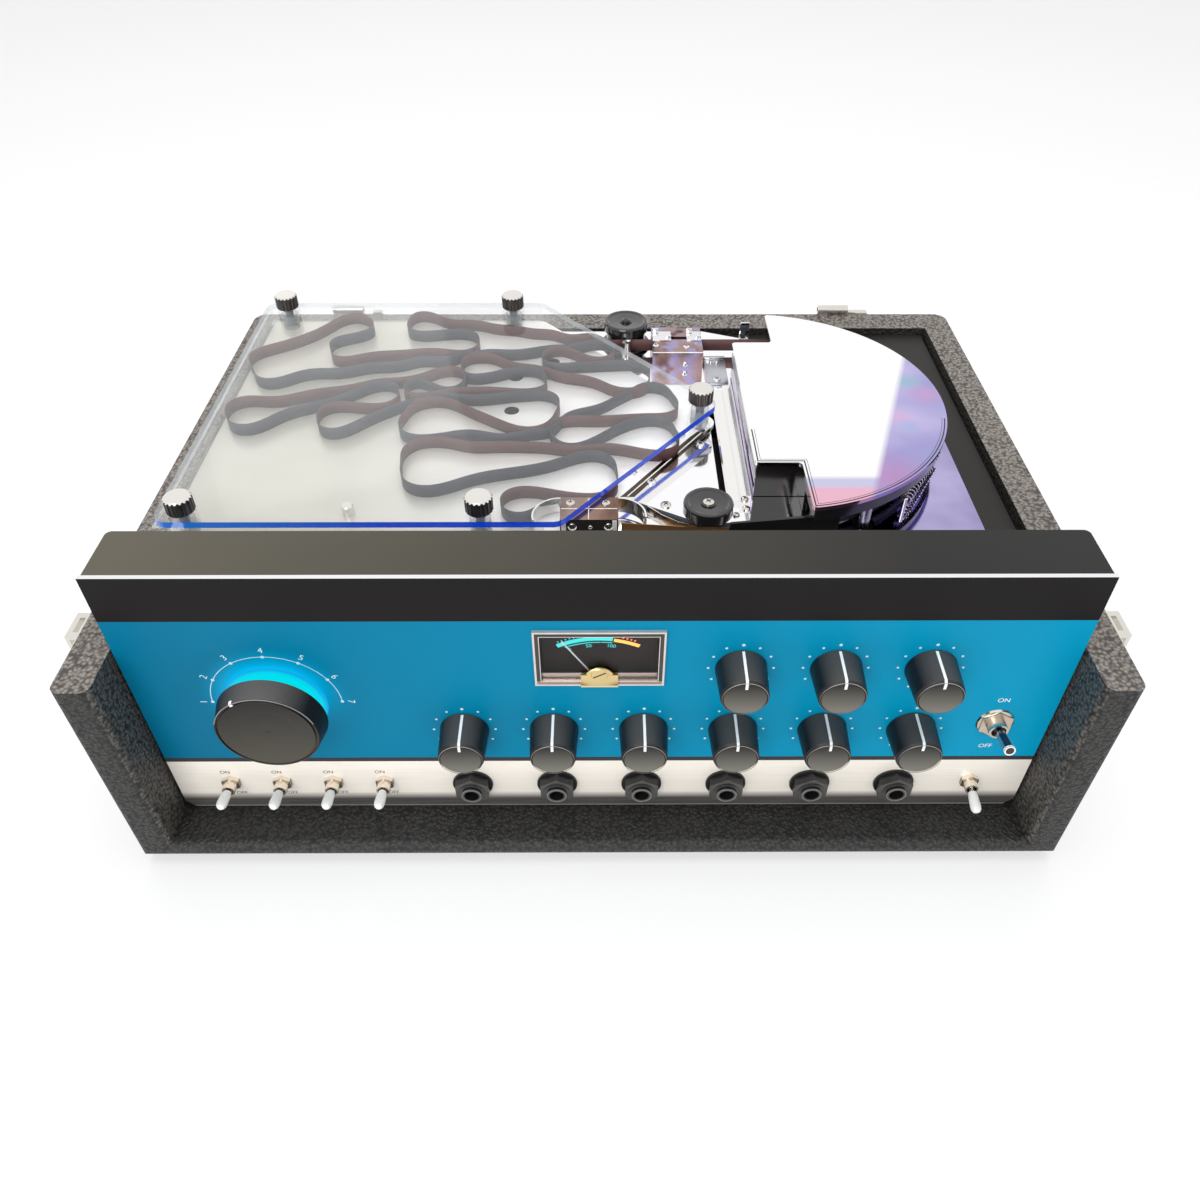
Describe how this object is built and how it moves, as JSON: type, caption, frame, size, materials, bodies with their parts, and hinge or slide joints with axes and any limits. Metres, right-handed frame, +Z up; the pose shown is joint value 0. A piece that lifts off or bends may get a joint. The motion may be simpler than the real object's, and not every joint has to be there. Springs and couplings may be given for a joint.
{
  "type": "tape echo unit",
  "caption": "Tabletop tape echo unit in a covered case: a loose endless tape in a clear-lidded tray, head bay and rollers behind a blue panel of knobs, meter, toggles and jacks.",
  "frame": {"origin": "middle of the underside of the feet", "axes": "+X to the right seen from the front, +Y to the back, +Z up"},
  "size_m": [0.428, 0.306, 0.1566],
  "materials": {
    "covering": "board covered with pebbled black cloth",
    "rubber": "matt",
    "nickel": "bright nickel",
    "black_steel": "satin black",
    "panel_paint": "satin blue, black and bare bands",
    "clear_plastic": "clear acrylic",
    "pane": "clear",
    "steel": "brushed",
    "mirror_steel": "polished",
    "knob_plastic": "satin",
    "black_plastic": "gloss",
    "tape": "oxide coated film",
    "board": "circuit board",
    "iron": "laminated iron"
  },
  "bodies": {
    "cabinet": {"case_shell": "covering", "chassis": "black_steel", "circuit_board": "board", "deck_plate": "steel", "drive_belt": "rubber", "drive_motor": "black_steel", "front_panel": "panel_paint", "glow_ring": "clear_plastic", "head_bridge": "steel", "jack_sockets": "steel", "latch_catches": "nickel", "lid_hinges": "nickel", "meter_housing": "nickel", "meter_window": "pane", "mode_switch": "steel", "pinch_spring": "steel", "potentiometers": "steel", "power_inlet": "black_plastic", "power_transformer": "iron", "reverb_tank": "black_steel", "rubber_feet": "rubber", "tape_guides": "steel", "tape_heads": "steel", "tape_loop": "tape", "toggle_bodies": "steel", "tray_floor": "steel", "tray_posts": "clear_plastic", "tray_walls": "clear_plastic", "visor_hood": "black_steel"},
    "capstan_flywheel": {"capstan_flywheel": "steel"},
    "front_roller": {"front_roller": "knob_plastic"},
    "level_knob_1": {"level_knob_1": "knob_plastic"},
    "level_knob_2": {"level_knob_2": "knob_plastic"},
    "level_knob_3": {"level_knob_3": "knob_plastic"},
    "level_knob_4": {"level_knob_4": "knob_plastic"},
    "level_knob_5": {"level_knob_5": "knob_plastic"},
    "level_knob_6": {"level_knob_6": "knob_plastic"},
    "level_knob_7": {"level_knob_7": "knob_plastic"},
    "level_knob_8": {"level_knob_8": "knob_plastic"},
    "level_knob_9": {"level_knob_9": "knob_plastic"},
    "meter_needle": {"meter_needle": "black_steel"},
    "mini_toggle_1": {"mini_toggle_1": "nickel"},
    "mini_toggle_2": {"mini_toggle_2": "nickel"},
    "mini_toggle_3": {"mini_toggle_3": "nickel"},
    "mini_toggle_4": {"mini_toggle_4": "nickel"},
    "mode_knob": {"mode_knob": "knob_plastic"},
    "motor_pulley": {"motor_pulley": "steel"},
    "output_toggle": {"output_toggle": "nickel"},
    "pinch_arm": {"pinch_arm": "steel"},
    "pinch_roller": {"pinch_roller": "rubber"},
    "power_toggle": {"power_toggle": "nickel"},
    "rear_roller": {"rear_roller": "knob_plastic"},
    "thumbscrew_1": {"thumbscrew_1": "steel"},
    "thumbscrew_2": {"thumbscrew_2": "steel"},
    "thumbscrew_3": {"thumbscrew_3": "steel"},
    "thumbscrew_4": {"thumbscrew_4": "steel"},
    "thumbscrew_5": {"thumbscrew_5": "steel"},
    "tray_cover": {"tray_cover": "clear_plastic"},
    "head_cover": {"head_cover_plate": "mirror_steel", "head_cover_skirt": "black_plastic"}
  },
  "joints": [
    {"name": "level_knob_1_turn", "type": "hinge", "parent": "cabinet", "child": "level_knob_1", "pos_m": [0.0565, -0.1315, 0.1081], "axis": [0, 1, 0], "range_deg": [-150, 150]},
    {"name": "level_knob_2_turn", "type": "hinge", "parent": "cabinet", "child": "level_knob_2", "pos_m": [0.0945, -0.1315, 0.1081], "axis": [0, 1, 0], "range_deg": [-150, 150]},
    {"name": "level_knob_3_turn", "type": "hinge", "parent": "cabinet", "child": "level_knob_3", "pos_m": [0.1325, -0.1315, 0.1081], "axis": [0, 1, 0], "range_deg": [-150, 150]},
    {"name": "level_knob_4_turn", "type": "hinge", "parent": "cabinet", "child": "level_knob_4", "pos_m": [-0.0575, -0.1315, 0.0701], "axis": [0, 1, 0], "range_deg": [-150, 150]},
    {"name": "level_knob_5_turn", "type": "hinge", "parent": "cabinet", "child": "level_knob_5", "pos_m": [-0.0195, -0.1315, 0.0701], "axis": [0, 1, 0], "range_deg": [-150, 150]},
    {"name": "level_knob_6_turn", "type": "hinge", "parent": "cabinet", "child": "level_knob_6", "pos_m": [0.0185, -0.1315, 0.0701], "axis": [0, 1, 0], "range_deg": [-150, 150]},
    {"name": "level_knob_7_turn", "type": "hinge", "parent": "cabinet", "child": "level_knob_7", "pos_m": [0.0565, -0.1315, 0.0701], "axis": [0, 1, 0], "range_deg": [-150, 150]},
    {"name": "level_knob_8_turn", "type": "hinge", "parent": "cabinet", "child": "level_knob_8", "pos_m": [0.0945, -0.1315, 0.0701], "axis": [0, 1, 0], "range_deg": [-150, 150]},
    {"name": "level_knob_9_turn", "type": "hinge", "parent": "cabinet", "child": "level_knob_9", "pos_m": [0.1325, -0.1315, 0.0701], "axis": [0, 1, 0], "range_deg": [-150, 150]},
    {"name": "mode_knob_turn", "type": "hinge", "parent": "cabinet", "child": "mode_knob", "pos_m": [-0.1329, -0.1315, 0.0883], "axis": [0, 1, 0], "range_deg": [-60, 120]},
    {"name": "mini_toggle_1_flip", "type": "hinge", "parent": "cabinet", "child": "mini_toggle_1", "pos_m": [-0.166, -0.13505, 0.0336], "axis": [1, 0, 0], "range_deg": [0, 24]},
    {"name": "mini_toggle_2_flip", "type": "hinge", "parent": "cabinet", "child": "mini_toggle_2", "pos_m": [-0.143, -0.13505, 0.0336], "axis": [1, 0, 0], "range_deg": [0, 24]},
    {"name": "mini_toggle_3_flip", "type": "hinge", "parent": "cabinet", "child": "mini_toggle_3", "pos_m": [-0.12, -0.13505, 0.0336], "axis": [1, 0, 0], "range_deg": [0, 24]},
    {"name": "mini_toggle_4_flip", "type": "hinge", "parent": "cabinet", "child": "mini_toggle_4", "pos_m": [-0.097, -0.13505, 0.0336], "axis": [1, 0, 0], "range_deg": [0, 24]},
    {"name": "output_toggle_flip", "type": "hinge", "parent": "cabinet", "child": "output_toggle", "pos_m": [0.1665, -0.13505, 0.0336], "axis": [1, 0, 0], "range_deg": [-24, 0]},
    {"name": "power_toggle_flip", "type": "hinge", "parent": "cabinet", "child": "power_toggle", "pos_m": [0.1675, -0.13439, 0.0741], "axis": [1, 0, 0], "range_deg": [0, 24]},
    {"name": "meter_needle_swing", "type": "hinge", "parent": "cabinet", "child": "meter_needle", "pos_m": [0, -0.1275, 0.0949], "axis": [0, 1, 0], "range_deg": [0, 64.6]},
    {"name": "tray_cover_lift", "type": "slide", "parent": "cabinet", "child": "tray_cover", "axis": [0, 0, 1], "range_m": [0, 0.03]},
    {"name": "head_cover_lift", "type": "slide", "parent": "cabinet", "child": "head_cover", "axis": [0, 0, 1], "range_m": [0, 0.04]},
    {"name": "thumbscrew_1_turn", "type": "hinge", "parent": "tray_cover", "child": "thumbscrew_1", "pos_m": [-0.1755, 0.114, 0.14], "axis": [0, 0, 1], "continuous": true},
    {"name": "thumbscrew_2_turn", "type": "hinge", "parent": "tray_cover", "child": "thumbscrew_2", "pos_m": [-0.0491, 0.114, 0.14], "axis": [0, 0, 1], "continuous": true},
    {"name": "thumbscrew_3_turn", "type": "hinge", "parent": "tray_cover", "child": "thumbscrew_3", "pos_m": [0.04905, 0.015, 0.14], "axis": [0, 0, 1], "continuous": true},
    {"name": "thumbscrew_4_turn", "type": "hinge", "parent": "tray_cover", "child": "thumbscrew_4", "pos_m": [-0.0508, -0.0705, 0.14], "axis": [0, 0, 1], "continuous": true},
    {"name": "thumbscrew_5_turn", "type": "hinge", "parent": "tray_cover", "child": "thumbscrew_5", "pos_m": [-0.1765, -0.0705, 0.14], "axis": [0, 0, 1], "continuous": true},
    {"name": "capstan_turn", "type": "hinge", "parent": "cabinet", "child": "capstan_flywheel", "pos_m": [0.11579, -0.06257, 0.12], "axis": [0, 0, 1], "continuous": true},
    {"name": "motor_pulley_turn", "type": "hinge", "parent": "cabinet", "child": "motor_pulley", "pos_m": [0.052, 0.0335, 0.1], "axis": [0, 0, 1], "continuous": true},
    {"name": "pinch_arm_swing", "type": "hinge", "parent": "cabinet", "child": "pinch_arm", "pos_m": [0.12798, -0.02759, 0.13], "axis": [0, 0, 1], "range_deg": [-4, 0]},
    {"name": "pinch_roller_turn", "type": "hinge", "parent": "pinch_arm", "child": "pinch_roller", "pos_m": [0.10993, -0.05155, 0.132], "axis": [0, 0, 1], "continuous": true},
    {"name": "front_roller_turn", "type": "hinge", "parent": "cabinet", "child": "front_roller", "pos_m": [0.0465, -0.066, 0.13], "axis": [0, 0, 1], "continuous": true},
    {"name": "rear_roller_turn", "type": "hinge", "parent": "cabinet", "child": "rear_roller", "pos_m": [0.014, 0.097, 0.13], "axis": [0, 0, 1], "continuous": true}
  ],
  "couplings": [
    {"joint": "motor_pulley_turn", "follows": "capstan_turn", "ratio": 4.5},
    {"joint": "pinch_roller_turn", "follows": "capstan_turn", "ratio": -0.2778},
    {"joint": "front_roller_turn", "follows": "capstan_turn", "ratio": -0.3049},
    {"joint": "rear_roller_turn", "follows": "capstan_turn", "ratio": 0.2273}
  ]
}
